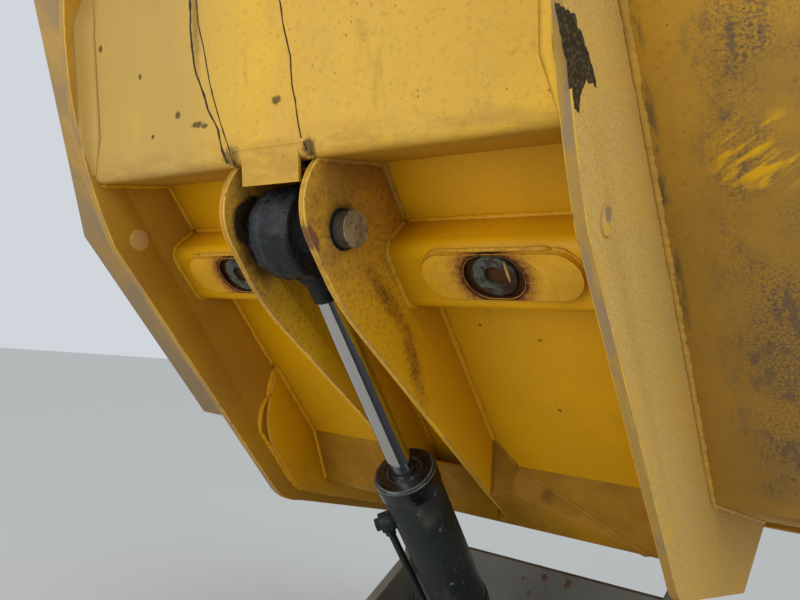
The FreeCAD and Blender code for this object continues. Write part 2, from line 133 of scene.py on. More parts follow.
def specks(tree, surface, s):          # scattered spots of mixed size, some cells left empty
    cells = addNode(tree, "ShaderNodeTexVoronoi", {"Vector": surface["at"]},
                    {"Scale": 1 / (s["spacing"] * mm)})
    dice = addNode(tree, "ShaderNodeSeparateColor", {"Color": cells.outputs["Color"]})
    reach = addNode(tree, "ShaderNodeMapRange", {"Value": dice.outputs[0]},
                    {"From Min": 1 - s["share"], "From Max": 1.0, "To Min": 0.0,
                     "To Max": s["radius"] / s["spacing"]})
    inner = addNode(tree, "ShaderNodeMath", {0: reach.outputs[0], 1: cells.outputs["Distance"]},
                    operation="SUBTRACT")
    return addNode(tree, "ShaderNodeMapRange", {"Value": inner.outputs[0]},
                   {"From Min": 0.0, "From Max": s.get("soft", 0.12)}).outputs[0]


def blot(tree, surface, s):            # one ragged mark round a point
    near = addNode(tree, "ShaderNodeMapping", {"Vector": surface["at"]},
                   {"Location": Vector(s["centre"]) * mm, "Rotation": (math.radians(s.get("tilt", 0)), 0, 0),
                    "Scale": Vector(s["radii"]) * mm}, vector_type="TEXTURE")
    away = addNode(tree, "ShaderNodeVectorMath", {0: near.outputs[0]}, operation="LENGTH")
    grain = addNode(tree, "ShaderNodeTexNoise", {"Vector": surface["at"]},
                    {"Scale": 1 / (s.get("grain", 12) * mm), "Detail": 5.0, "Roughness": 0.65})
    ragged = s.get("ragged", 0.8)
    edge = addNode(tree, "ShaderNodeMath", {0: grain.outputs[0], 2: away.outputs["Value"]}, {1: ragged},
                   operation="MULTIPLY_ADD")
    middle = 1 + ragged * 0.5      # the noise is 0.5 on average
    return addNode(tree, "ShaderNodeMapRange", {"Value": edge.outputs[0]},
                   {"From Min": middle, "From Max": middle - s.get("soft", 0.3)},
                   interpolation_type="SMOOTHSTEP").outputs[0]


def crevice(tree, surface, s):         # inner corners, darkened: dirt that gathers there, and painted shade
    clear = addNode(tree, "ShaderNodeAmbientOcclusion", {}, {"Distance": s["reach"] * mm}, samples=3)
    grain = addNode(tree, "ShaderNodeTexNoise", {"Vector": surface["at"]},
                    {"Scale": 1 / (18 * mm), "Detail": 5.0})
    ragged = 0.3
    rough = addNode(tree, "ShaderNodeMath", {0: grain.outputs[0], 2: clear.outputs["AO"]}, {1: ragged},
                    operation="MULTIPLY_ADD")
    low, high = s["levels"]
    return addNode(tree, "ShaderNodeMapRange", {"Value": rough.outputs[0]},
                   {"From Min": high + ragged / 2, "From Max": low + ragged / 2},
                   interpolation_type="SMOOTHSTEP").outputs[0]


tubMiddle = Vector((0, 300, 700))      # a point in the load space, in the skip's frame


def insideTub(tree, surface, s):       # faces that look towards the middle of the load space
    inward = addNode(tree, "ShaderNodeVectorMath", {1: surface["at"]}, {0: s["middle"] * mm},
                     operation="SUBTRACT")
    share = addNode(tree, "ShaderNodeVectorMath", {0: inward.outputs[0], 1: surface["normal"]},
                    operation="DOT_PRODUCT")
    return addNode(tree, "ShaderNodeMath", {0: share.outputs["Value"]}, {1: 0.0},
                   operation="GREATER_THAN").outputs[0]


def facing(tree, surface, s):          # faces that look one way in the piece's frame
    share = addNode(tree, "ShaderNodeVectorMath", {0: surface["normal"]}, {1: s["way"]},
                    operation="DOT_PRODUCT")
    low, high = s["levels"]
    return addNode(tree, "ShaderNodeMapRange", {"Value": share.outputs["Value"]},
                   {"From Min": low, "From Max": high}).outputs[0]


def between(tree, surface, s):         # a stretch along one axis with soft ends
    axes = addNode(tree, "ShaderNodeSeparateXYZ", {0: surface["at"]})
    low, high = s["range"]
    middle, half = (low + high) / 2 * mm, (high - low) / 2 * mm
    off = addNode(tree, "ShaderNodeMath", {0: axes.outputs["XYZ".index(s["axis"])]}, {1: middle},
                  operation="SUBTRACT")
    off = addNode(tree, "ShaderNodeMath", {0: off.outputs[0]}, operation="ABSOLUTE")
    return addNode(tree, "ShaderNodeMapRange", {"Value": off.outputs[0]},
                   {"From Min": half + s["soft"] * mm, "From Max": half}).outputs[0]


# Layers: the sizes of a mask, then the colour, amount and roughness that it paints.
# Without those three a layer paints nothing, and limits another through its "only".
def layer(mask, paint, **sizes):
    return {"mask": mask, **dict(zip(("colour", "amount", "rough"), paint)), **sizes}


def patch(size, levels, *paint, **more):
    return layer(patches, paint, size=size, levels=levels, **more)


def spots(spacing, radius, share, *paint, **more):
    return layer(specks, paint, spacing=spacing, radius=radius, share=share, **more)


def mark(centre, radii, *paint, **more):
    return layer(blot, paint, centre=centre, radii=radii, **more)


def corners(reach, levels, *paint):
    return layer(crevice, paint, reach=reach, levels=levels)


def facingWay(way, levels, *paint, **more):
    return layer(facing, paint, way=way, levels=levels, **more)


def band(axis, start, end, soft, *paint, **more):
    return layer(between, paint, axis=axis, range=(start, end), soft=soft, **more)


def inTub(*paint, **more):
    return layer(insideTub, paint, middle=tubMiddle, **more)


# A finish is a base in two tones with layers over it, each a mask with its colour, roughness and lift
def layeredFinish(s):
    mat, tree, shader = newMaterial(s["name"])
    coords = addNode(tree, "ShaderNodeTexCoord")
    surface = {"at": coords.outputs["Object"], "normal": coords.outputs["Normal"]}
    if s.get("frame") != "row":
        turn = {"Rotation": (skipFrame["tip"], 0, 0)}
        surface = {
            "at": addNode(tree, "ShaderNodeMapping", {"Vector": surface["at"]},
                          {**turn, "Location": toSkip.translation}).outputs[0],
            "normal": addNode(tree, "ShaderNodeMapping", {"Vector": surface["normal"]}, turn,
                              vector_type="VECTOR").outputs[0],
        }
    tone = patches(tree, surface, s["tone"])
    paint = addNode(tree, "ShaderNodeMixRGB", {"Fac": tone},
                    {"Color1": colour(s["colours"][0]), "Color2": colour(s["colours"][1])}).outputs[0]
    rough = addNode(tree, "ShaderNodeMapRange", {"Value": tone},
                    {"To Min": s["rough"][0], "To Max": s["rough"][1]}).outputs[0]
    skin = addNode(tree, "ShaderNodeTexNoise", {"Vector": surface["at"]},
                   {"Scale": 1 / (s["grain"]["size"] * mm), "Detail": 3.0})
    height = addNode(tree, "ShaderNodeMath", {0: skin.outputs[0]}, {1: s["grain"]["lift"]},
                     operation="MULTIPLY").outputs[0]
    metal = None
    for one in s["layers"]:
        mask = one["mask"](tree, surface, one)
        for limit in one.get("only", []):
            limitMask = limit["mask"](tree, surface, limit)
            mask = addNode(tree, "ShaderNodeMath", {0: mask, 1: limitMask}, operation="MULTIPLY").outputs[0]
        mask = addNode(tree, "ShaderNodeMath", {0: mask}, {1: one["amount"]},
                       operation="MULTIPLY").outputs[0]
        paint = addNode(tree, "ShaderNodeMixRGB", {"Fac": mask, "Color1": paint},
                        {"Color2": colour(one["colour"])}).outputs[0]
        rough = addNode(tree, "ShaderNodeMix", {"Factor": mask, "A": rough}, {"B": one["rough"]},
                        data_type="FLOAT").outputs[0]
        if "lift" in one:
            height = addNode(tree, "ShaderNodeMath", {0: mask, 2: height}, {1: one["lift"]},
                             operation="MULTIPLY_ADD").outputs[0]
        if "metal" in one:
            metal = addNode(tree, "ShaderNodeMix", {"Factor": mask, **({"A": metal} if metal else {})},
                            {"A": s.get("metal", 0.0), "B": one["metal"]}, data_type="FLOAT").outputs[0]
    tree.links.new(paint, shader.inputs["Base Color"])
    tree.links.new(rough, shader.inputs["Roughness"])
    if metal:
        tree.links.new(metal, shader.inputs["Metallic"])
    else:
        shader.inputs["Metallic"].default_value = s.get("metal", 0.0)
    bump = addNode(tree, "ShaderNodeBump", {"Height": height}, {"Distance": mm, "Strength": 1.0})
    tree.links.new(bump.outputs[0], shader.inputs["Normal"])
    shader.inputs["Specular IOR Level"].default_value = s.get("gloss", 0.22)
    return mat


# Enamel sprayed on plate: orange peel under 3 mm, and what has settled on it
def enamelLayers(dust, mud, dirt, dustColour="#B79A5E"):
    return [
        # fine tan dust that dulls the enamel, and soft clouds of it
        patch(3, (0.50, 0.72), dustColour, dust * 0.7, 0.85, detail=6),
        patch(90, (0.45, 0.75), dustColour, dust * 0.7, 0.8, stretch=(1, 3, 3)),
        # smears of old mud, its fine grit and its specks
        patch(40, (0.60, 0.72), "#8A6A1E", 0.3 * mud, 0.7, stretch=(1, 4, 4), shift=3.1),
        patch(9, (0.50, 0.74), "#7A5A22", 0.55 * mud, 0.85, detail=8, grit=0.75, shift=6.3),
        spots(26, 4.0, 0.22, "#6A4A1C", 0.7 * mud, 0.9, lift=0.25),
        spots(11, 2.6, 0.30, "#5E4520", 0.8 * mud, 0.9),
        # brown dirt and painted shade in the corners
        corners(45, (0.25, 0.75), "#7A5210", dirt * 0.6, 0.85),
    ]


# Levels of a finish's two tones: soft clouds, or closer ones on small things and edges
softTone = (0.35, 0.65)
closeTone = (0.4, 0.6)

# Limits and layers that several finishes share
underside = facingWay((0, 0, -1), (0.75, 0.92))
webEdges = facingWay((0, -0.6, -0.8), (0.3, 0.7))
rightWeb = band("X", 500, 600, 2)
leftWeb = band("X", -600, -500, 2)
earTipRust = mark((89, -28, -66), (14, 30, 12), "#6B4636", 0.85, 0.9, ragged=0.7, grain=9)
edgeRust = patch(22, (0.62, 0.66), "#6B4326", 0.7, 0.9, detail=6)

oilPits = [
    # centre on the rear box, radii
    ((-220, -210, 61), (10, 8, 8)), ((-170, -192, 48), (19, 7, 7)), ((-150, -188, 46), (11, 5, 5)),
    ((21, -204, 57), (13, 9, 9)), ((-323, -278, 106), (6, 6, 6)), ((-294, -185, 45), (6, 5, 5)),
    ((-445, -337, 146), (8, 8, 8)),
]
rearBoxEnamel = {
    "name": "sunFadedYellowEnamel", "colours": ("#E0B02C", "#D6A63A"), "rough": (0.42, 0.55),
    "tone": patch(260, softTone), "grain": {"size": 2.5, "lift": 0.05},
    "layers": enamelLayers(0.22, 0.75, 0.15) + [
        patch(120, (0.0, 0.35), "#AE9156", 0.7, 0.75, only=[band("X", -520, -230, 220)]),
        # the recess face, which looks forward and down, painted darker orange-brown: painted shade
        facingWay((0, 0.853, -0.523), (0.7, 0.95), "#C08A12", 0.75, 0.5),
        # a brownish band along the lip's rounded fold: dust, and painted shade on the fold
        patch(30, (0.36, 0.60), "#A47A38", 0.5, 0.8, detail=6, stretch=(3, 1, 1),
              only=[band("Y", -140, -112, 30)]),
        mark((-163, -330, 142), (15, 120, 100), "#6A4A18", 0.6, 0.7, grain=10, ragged=1.2, soft=0.9),
        mark((-88, -140, 14), (26, 24, 24), "#4A3518", 0.7, 0.75, grain=9, ragged=1.0, soft=0.6),
        mark((86, -138, 14), (16, 20, 20), "#3A2A14", 0.8, 0.75, grain=7, ragged=1.0, soft=0.5),
    ] + [mark(c, r, "#33260F", 0.8, 0.7, grain=7, ragged=1.3, soft=0.5) for c, r in oilPits],
}

panStains = [
    # x, y, z, radius
    (283, 347, 152, 5), (278, 527, 152, 6), (168, 318, 152, 5), (-59, 615, 152, 6), (196, 783, 132, 22),
]
padMiddle = {"x": 294, "y": 138, "z": 58}       # middle of the right rest pad's hole
panEnamel = {
    "name": "shadedYellowEnamel", "colours": ("#DCA000", "#D29A04"), "rough": (0.4, 0.52),
    "tone": patch(220, softTone), "grain": {"size": 2.5, "lift": 0.05},
    "layers": enamelLayers(0.06, 0.45, 0.6, "#B48C38") + [
        # near black on the channel inside each pad's hole: painted shade in the gap round the boss
        mark((side * padMiddle["x"], 137, 70), (60, 50, 21), "#33190F", 0.95, 0.9, ragged=0.2, soft=0.1)
        for side in (-1, 1)
    ] + [
        mark((x, y, z), (r, r, r), "#5A3A10", 0.7, 0.85, ragged=0.9, grain=8, soft=0.5)
        for x, y, z, r in panStains
    ],
}
frontEnamel = {      # the front box sits lower than the pan: its tones are painted darker as painted shade, with brown dirt over them
    **panEnamel, "name": "shadePaintedYellowEnamel", "colours": ("#A0720A", "#94690C"),
    "layers": panEnamel["layers"] + [
        patch(80, (0.40, 0.62), "#80580E", 0.6, 0.8, detail=6),
        mark((120, 772, 130), (12, 16, 20), "#2A1C10", 0.9, 0.8, ragged=1.2, grain=9),
    ],
}
padStains = [        # rust in the hole, its darkest ring near black as painted shade on the hole's wall, and paler rust round it
    # radii, raggedness, softness, grain, colour, amount
    ((98, 98, 60), 0.7, 0.6, 14, "#8F5224", 0.7), ((82, 74, 50), 0.6, 0.4, 8, "#5C281A", 0.85),
    ((63, 54, 40), 0.25, 0.15, 8, "#33160E", 0.95),
]
padEnamel = {
    "name": "rustStainedPadEnamel", "colours": ("#D8A01C", "#CC961E"), "rough": (0.42, 0.55),
    "tone": patch(60, softTone), "grain": {"size": 2.5, "lift": 0.05},
    "layers": enamelLayers(0.25, 0.6, 0.4) + [
        mark((side * padMiddle["x"], padMiddle["y"], padMiddle["z"]), radii, shade, amount, 0.9,
             ragged=ragged, soft=soft, grain=grain)
        for side in (-1, 1) for radii, ragged, soft, grain, shade, amount in padStains
    ] + [
        spots(6, 2.2, 0.7, "#5A2A14", 0.85, 0.9,
              only=[mark((side * padMiddle["x"], padMiddle["y"], padMiddle["z"]), (98, 96, 60),
                         ragged=0.8, soft=0.8, grain=14)])
        for side in (-1, 1)
    ],
}
bossSteel = {        # bare plate in the pads' holes: grey-green mill scale, rust and a rim of old paint
    "name": "scaledRustySteel", "colours": ("#4E554C", "#444A40"), "rough": (0.55, 0.75),
    "tone": patch(30, closeTone), "grain": {"size": 2.0, "lift": 0.15},
    "layers": [
        patch(14, (0.52, 0.60), "#3C2418", 0.85, 0.9, detail=6, lift=0.2),
        mark((318, 150, 62), (24, 34, 20), "#3A1E14", 0.9, 0.9, ragged=0.7, grain=10),
        mark((318, 128, 62), (3, 22, 20), "#B08A3A", 0.85, 0.6, ragged=0.8, grain=6),
        spots(5, 1.4, 0.5, "#2A1A12", 0.8, 0.9),
    ],
}

earStreaks = [       # two long rust marks on the right ear's outer face
    # centre, tilt, radii of the stain, then centre and radii of the rust in it
    ((95, 160, 26), 10, (60, 100, 24), (95, 160, 26), (60, 110, 28)),
    ((95, 300, 22), -14, (60, 120, 22), (95, 305, 20), (60, 140, 30)),
]
earEnamel = {
    "name": "rustFreckledEnamel", "colours": ("#C8952A", "#BC8A26"), "rough": (0.5, 0.6),
    "tone": patch(120, softTone), "grain": {"size": 2.5, "lift": 0.05},
    "layers": enamelLayers(0.30, 1.3, 0.6, "#B08A42") + [
        band("Y", 180, 900, 160, "#DCA60A", 0.85, 0.45),
        patch(60, (0.40, 0.62), "#9A7434", 0.6, 0.8, detail=6, only=[band("Y", -130, 60, 60)]),
        patch(8, (0.46, 0.64), "#6E4A1E", 0.55, 0.9, detail=8, grit=0.8, shift=2.4,
              only=[band("Y", -130, 160, 200)]),
    ] + [
        mark(centre, radii, "#8A5216", 0.5, 0.9, tilt=tilt, ragged=1.0, soft=0.8, grain=20)
        for centre, tilt, radii, _, _ in earStreaks
    ] + [
        patch(9, (0.46, 0.60), "#5E2C12", 0.85, 0.9, detail=8, grit=0.8,
              only=[mark(centre, radii, tilt=tilt, ragged=0.9, soft=0.8, grain=22)])
        for _, tilt, _, centre, radii in earStreaks
    ] + [
        spots(12, 2.4, 0.5, "#5E3414", 0.7, 0.9, soft=0.25,
              only=[mark((95, 120, 10), (60, 260, 120), ragged=0.8, soft=1.0, grain=40)]),
        earTipRust,
        # old oil round the pins: brown on the right ear, with painted shadow round the pin there; black and
        # brown on the left one
        mark((95, -4, 2), (40, 46, 46), "#33260F", 0.9, 0.8, ragged=0.7, soft=0.5, grain=14),
        mark((-83, -30, -12), (20, 46, 52), "#14140F", 0.95, 0.6, ragged=0.5, soft=0.2, grain=22),
        mark((-83, 26, -34), (20, 64, 44), "#4A2A10", 0.85, 0.85, ragged=0.8, soft=0.6, grain=18),
    ],
}
earEdge = {          # the ears' cut edges: bright where the eye keeps them clean, lilac-brown underneath
    "name": "rubbedEarEdge", "colours": ("#DDB048", "#CFA040"), "rough": (0.45, 0.65),
    "tone": patch(60, closeTone), "grain": {"size": 2.0, "lift": 0.08},
    "layers": [
        band("Y", 20, 900, 60, "#94745C", 0.8, 0.85, only=[patch(60, (0.30, 0.50), detail=6)]),
        earTipRust,
        edgeRust,
    ],
}

webEnamel = {
    "name": "dustCoatedYellowEnamel", "colours": ("#BC8A1C", "#AE7E20"), "rough": (0.45, 0.6),
    "tone": patch(240, softTone), "grain": {"size": 2.5, "lift": 0.06},
    "layers": enamelLayers(0.25, 0.8, 0.6, "#A08048") + [
        # dust that has dried on the outer faces, gritty and patchy on the right one
        facingWay((1, 0, 0), (0.7, 0.9), "#CBA85C", 0.92, 0.95, only=[rightWeb]),
        facingWay((-1, 0, 0), (0.7, 0.9), "#A08A66", 0.85, 0.95, only=[leftWeb]),
        patch(4.0, (0.46, 0.66), "#7C6234", 0.5, 0.95, detail=6, grit=0.75, lift=-0.15, only=[rightWeb]),
        patch(110, (0.46, 0.70), "#D0A244", 0.55, 0.95, detail=6, only=[rightWeb]),
        spots(60, 5, 0.2, "#4E3C20", 0.8, 0.9, only=[rightWeb]),
        # cut edges
        {**webEdges, "colour": "#A5884F", "amount": 0.60, "rough": 0.9},
        patch(26, (0.46, 0.60), "#8A7768", 0.6, 0.95, detail=6, stretch=(1, 3, 3), only=[webEdges]),
        # plugged holes
        mark((510, 10, 29), (8, 15, 14), "#8E785C", 0.9, 0.9, ragged=0.4, grain=8),
        mark((510, 27, 14), (8, 12, 9), "#D0A43A", 0.9, 0.6, ragged=0.5, grain=6),
        mark((-486, 18, 22), (6, 24, 24), "#C9A468", 0.9, 0.9, ragged=0.1, soft=0.1),
    ],
}

tubEnamel = {
    "name": "scuffedYellowEnamelAndScouredSteel", "colours": ("#D8A22A", "#CC982A"), "rough": (0.5, 0.65),
    "tone": patch(200, softTone), "grain": {"size": 2.5, "lift": 0.06},
    "layers": enamelLayers(0.25, 0.9, 0.6, "#A08048") + [
        # underside: darker to the front, mottled with dried mud to the right of the webs
        band("Y", 150, 1500, 420, "#6E5632", 0.45, 0.95, only=[underside]),
        patch(170, (0.38, 0.62), "#94733A", 0.6, 0.9, detail=5, shift=1.7,
              only=[band("X", 640, 1300, 110), underside]),
        patch(5, (0.45, 0.60), "#554B40", 0.9, 0.95, detail=6, grit=0.75,
              only=[patch(150, (0.36, 0.60), detail=6, shift=1.7), band("X", 650, 1300, 90), underside]),
        patch(14, (0.50, 0.64), "#5C5148", 0.6, 0.95, detail=7, stretch=(1, 3, 1),
              only=[patch(150, (0.44, 0.62), detail=6, shift=1.7), band("X", 620, 1300, 70), underside]),
        patch(18, (0.44, 0.58), "#6B5838", 0.8, 0.9, detail=6, stretch=(1, 4, 1),
              only=[band("X", 512, 522, 8), band("Y", -200, 300, 120)]),
        spots(44, 7, 0.3, "#4A4038", 0.75, 0.9),
        band("X", -1300, -507, 4, "#857868", 0.7, 0.95,
             only=[patch(200, (0.10, 0.62), detail=6), underside]),
        # a wiped place where the clean enamel shows
        patch(16, (0.46, 0.60), "#E2AC08", 0.95, 0.35, detail=5, stretch=(5, 1, 1), turn=-38,
              only=[mark((668, 50, 230), (95, 70, 60), ragged=0.8, grain=30, soft=0.5)]),
        # load space: brown steel, bright scours, rust, dried soil, and enamel left near the rim
        inTub("#6B5A48", 1.0, 0.62, metal=0.35),
        patch(6, (0.42, 0.62), "#A39A8C", 0.75, 0.36, detail=8, stretch=(1, 22, 22), metal=0.85,
              only=[inTub()]),
        patch(70, (0.48, 0.66), "#6A3C1E", 0.8, 0.9, detail=7, metal=0.0, only=[inTub()]),
        patch(110, (0.44, 0.60), "#8C7A5C", 0.7, 0.95, detail=7, shift=5.2, metal=0.0, only=[inTub()]),
        patch(60, (0.40, 0.52), "#B98A1E", 0.9, 0.5, detail=7, shift=8.4, metal=0.0,
              only=[inTub(), band("Z", 800, 1000, 60)]),
    ],
}
rimEnamel = {        # knocked down to primer and steel where loads go over it
    "name": "knockedYellowEnamel", "colours": ("#CC9A1E", "#BC8C20"), "rough": (0.45, 0.6),
    "tone": patch(120, softTone), "grain": {"size": 2.5, "lift": 0.06},
    "layers": enamelLayers(0.3, 0.9, 0.5) + [
        patch(28, (0.58, 0.61), "#5E3A22", 0.9, 0.85, detail=6, lift=-0.2),
        patch(28, (0.62, 0.66), "#8C857A", 0.9, 0.4, detail=6, metal=0.8),
    ],
}
edgeEnamel = {       # cut edges: thin paint, rubbed light, with lilac-grey road dust
    "name": "rubbedEdgeEnamel", "colours": ("#D8AC3C", "#C49A4C"), "rough": (0.45, 0.7),
    "tone": patch(60, closeTone), "grain": {"size": 2.0, "lift": 0.08},
    "layers": [patch(8, (0.56, 0.64), "#94806A", 0.6, 0.8, detail=6), edgeRust],
}
grimyEdge = {        # folds and small edges that hold a line of grime
    "name": "grimyEdgeEnamel", "colours": ("#96690C", "#A87810"), "rough": (0.5, 0.7),
    "tone": patch(30, closeTone), "grain": {"size": 2.0, "lift": 0.06},
    "layers": [patch(12, (0.50, 0.62), "#5A3C12", 0.7, 0.9, detail=6)],
}

frameEnamel = {      # dark enamel, chalky with road dust on its upper faces
    "name": "dustyDarkEnamel", "frame": "row", "colours": ("#5A5954", "#66635B"), "rough": (0.5, 0.7),
    "tone": patch(160, softTone), "grain": {"size": 2.5, "lift": 0.06},
    "layers": [
        facingWay((0, 0, 1), (0.1, 0.9), "#8A867A", 0.7, 0.95),
        patch(4, (0.50, 0.66), "#77736A", 0.5, 0.95, detail=7),
        patch(60, (0.52, 0.70), "#6C675C", 0.6, 0.9, detail=6, stretch=(1, 1, 4)),
        patch(30, (0.64, 0.67), "#5A3822", 0.85, 0.9, detail=6, shift=4.0, lift=-0.2),
        # brown dirt and painted shade in the inner corners
        corners(40, (0.25, 0.75), "#4B4030", 0.7, 0.95),
    ],
}
frameEdge = {
    "name": "rubbedDarkEdge", "frame": "row", "colours": ("#5C5A54", "#6E6A62"), "rough": (0.45, 0.6),
    "tone": patch(30, closeTone), "grain": {"size": 2.0, "lift": 0.06},
    "layers": [patch(20, (0.6, 0.65), "#5C3B24", 0.8, 0.9, detail=6)],
}
ramEnamel = {        # satin dark green-grey enamel, rubbed and lightly dusted
    "name": "satinGreenGreyEnamel", "frame": "row", "colours": ("#1B2120", "#222826"), "rough": (0.34, 0.48),
    "tone": patch(120, softTone), "grain": {"size": 2.0, "lift": 0.03},
    "layers": [
        patch(5, (0.52, 0.68), "#4A4B45", 0.35, 0.8, detail=7),
        patch(50, (0.55, 0.72), "#55534A", 0.4, 0.8, detail=6, stretch=(1, 3, 3)),
        patch(16, (0.66, 0.68), "#6A655A", 0.8, 0.5, detail=5),
        # near black in the inner corners: painted shade
        corners(25, (0.3, 0.8), "#101112", 0.7, 0.5),
    ],
}
glandPaint = {       # the gland: wiped black, wet with oil
    "name": "oiledBlackPaint", "frame": "row", "colours": ("#0D0F10", "#141718"), "rough": (0.22, 0.4),
    "tone": patch(30, closeTone), "grain": {"size": 2.0, "lift": 0.04}, "gloss": 0.5,
    "layers": [patch(14, (0.58, 0.70), "#2E2F2C", 0.6, 0.7, detail=6)],
}
glandEdge = {**glandPaint, "name": "rubbedGlandEdge", "colours": ("#5A5D5C", "#34383A"), "layers": []}
blackGrease = {      # old grease: near black and lumpy, wet where it is thick, dusty grey where it is thin
    "name": "oldBlackGrease", "frame": "row", "colours": ("#0B0E11", "#14181B"), "rough": (0.36, 0.6),
    "tone": patch(14, softTone), "grain": {"size": 5.0, "lift": 1.2}, "gloss": 0.28,
    "layers": [
        # a lighter grey band round the left part of the eye: painted light
        band("X", -45, -19, 3, "#46494F", 0.3, 0.7,
             only=[mark(headPin / mm, (60, 90, 90), ragged=0.1, soft=0.1)]),
        patch(7, (0.54, 0.66), "#33373B", 0.3, 0.7, detail=7),
        spots(9, 2.2, 0.3, "#3E6A62", 0.6, 0.6, only=[band("X", -19, 60, 4)]),
        patch(22, (0.60, 0.72), "#4A3420", 0.5, 0.8, detail=5),
    ],
}
pinSteel = {         # turned steel, brown with old oil, dark with it on all of the head pin but its ends
    "name": "oiledTurnedSteel", "frame": "row", "colours": ("#9A8E72", "#867A5C"), "rough": (0.42, 0.6),
    "tone": patch(24, closeTone), "grain": {"size": 2.0, "lift": 0.05}, "metal": 0.35,
    "layers": [
        patch(12, (0.56, 0.66), "#4A3420", 0.7, 0.8, detail=6, metal=0.0),
        band("X", -118.6, 118.6, 0.6, "#2B2820", 0.85, 0.6, metal=0.0,
             only=[mark(headPin / mm, (160, 60, 60), ragged=0.1, soft=0.1)]),
    ],
}
weldEnamel = {       # weld beads painted over, as dusty as the plates beside them
    "name": "paintedWeldBead", "colours": ("#CFA03A", "#BE9240"), "rough": (0.4, 0.55),
    "tone": patch(40, softTone), "grain": {"size": 2.0, "lift": 0.15},
    "layers": enamelLayers(0.3, 0.7, 0.3),
}
frameWeld = {
    "name": "darkWeldBead", "frame": "row", "colours": ("#42413D", "#504E48"), "rough": (0.5, 0.65),
    "tone": patch(40, softTone), "grain": {"size": 2.0, "lift": 0.15},
    "layers": [patch(8, (0.52, 0.66), "#77736A", 0.5, 0.95, detail=6)],
}
driedOil = {         # runs of old oil, dried dark brown
    "name": "driedOilRuns", "colours": ("#2A1F12", "#3A2A16"), "rough": (0.45, 0.7),
    "tone": patch(20, closeTone), "grain": {"size": 2.0, "lift": 0.2}, "layers": [],
}
scrapedTar = {       # thin dried tar, scraped so that the dusty plate shows through in spots
    "name": "scrapedTarPatch", "colours": ("#28241A", "#332C1E"), "rough": (0.55, 0.75),
    "tone": patch(12, closeTone), "grain": {"size": 2.5, "lift": 0.3},
    "layers": [patch(5, (0.50, 0.60), "#6B5638", 0.6, 0.9, detail=7)],
}
zincPlate = {        # yellow-grey zinc plating on bolts, dulled
    "name": "dulledZincPlate", "frame": "row", "colours": ("#8C8878", "#767060"), "rough": (0.35, 0.5),
    "tone": patch(10, closeTone), "grain": {"size": 2.0, "lift": 0.04}, "metal": 0.8,
    "layers": [patch(6, (0.56, 0.64), "#5A4630", 0.7, 0.85, detail=6, metal=0.1)],
}


def hardChrome():        # ground and polished chrome: mirror bright, faint lengthwise wipe marks of oil
    mat, tree, shader = newMaterial("hardChrome")
    coords = addNode(tree, "ShaderNodeTexCoord")
    along = addNode(tree, "ShaderNodeMapping", {"Vector": coords.outputs["Object"]},
                    {"Rotation": (-ramLean, 0, 0)})
    drawn = addNode(tree, "ShaderNodeMapping", {"Vector": along.outputs[0]}, {"Scale": (1, 1, 0.02)})
    wipe = addNode(tree, "ShaderNodeTexNoise", {"Vector": drawn.outputs[0]},
                   {"Scale": 1 / (4 * mm), "Detail": 6.0})
    rough = addNode(tree, "ShaderNodeMapRange", {"Value": wipe.outputs[0]},
                    {"From Min": 0.3, "From Max": 0.7, "To Min": 0.05, "To Max": 0.16})
    tint = addNode(tree, "ShaderNodeMixRGB", {"Fac": wipe.outputs[0]},
                   {"Color1": colour("#C9CACD"), "Color2": colour("#B4B3B0")})
    tree.links.new(rough.outputs[0], shader.inputs["Roughness"])
    tree.links.new(tint.outputs[0], shader.inputs["Base Color"])
    shader.inputs["Metallic"].default_value = 1.0
    return mat


finishSettings = {
    "rearBox": rearBoxEnamel, "pan": panEnamel, "front": frontEnamel, "ear": earEnamel, "earEdge": earEdge,
    "web": webEnamel, "tub": tubEnamel, "rim": rimEnamel, "edge": edgeEnamel, "grimyEdge": grimyEdge,
    "pad": padEnamel, "boss": bossSteel, "frame": frameEnamel, "frameEdge": frameEdge, "ram": ramEnamel,
    "gland": glandPaint, "glandEdge": glandEdge, "grease": blackGrease, "pin": pinSteel, "weld": weldEnamel,
    "frameWeld": frameWeld, "oil": driedOil, "tar": scrapedTar, "zinc": zincPlate,
}
finish = {key: layeredFinish(s) for key, s in finishSettings.items()}
finish["chrome"] = hardChrome()
print("finishes made:", len(finish))

# Which finish each node takes: start of its name, faces, bevelled edges, bevel in millimetres.
# The first row that fits holds.
dressing = [
    ("hinge_pin", "pin", "pin", 2.0), ("ram_foot_pin", "pin", "pin", 2.0), ("head_pin", "pin", "pin", 2.0),
    ("frame_", "frame", "frameEdge", 2.0), ("hinge_keeper", "frame", "frameEdge", 1.5),
    ("ram_foot_lug", "frame", "frameEdge", 2.0), ("ram_rod", "chrome", "chrome", 0.0),
    ("rod_eye", "grease", "grease", 3.0), ("ram_gland", "gland", "glandEdge", 1.5),
    ("ram_ear", "ear", "earEdge", 2.0), ("ram_", "ram", "ram", 1.5),
    ("skip_rear_box", "rearBox", "rearBox", 1.5), ("skip_web", "web", "edge", 4.0),
    ("skip_pan", "pan", "pan", 1.0), ("skip_front_box", "front", "front", 1.0),
    ("skip_doubler", "pan", "edge", 2.0), ("toe_", "front", "front", 1.5),
    ("cross_channel", "pan", "pan", 1.0), ("rest_pad", "pad", "grimyEdge", 1.2),
    ("pad_boss", "boss", "boss", 1.0), ("rim_", "rim", "edge", 2.5), ("lip_bar", "rim", "edge", 2.5),
    ("hinge_lug", "web", "edge", 2.0), ("", "tub", "edge", 1.5),
]
meshCare = {
    "merge": 0.00002, "flat": math.radians(0.5), "bevelFrom": math.radians(34), "segments": 2,
    "smoothTo": math.radians(32),
}


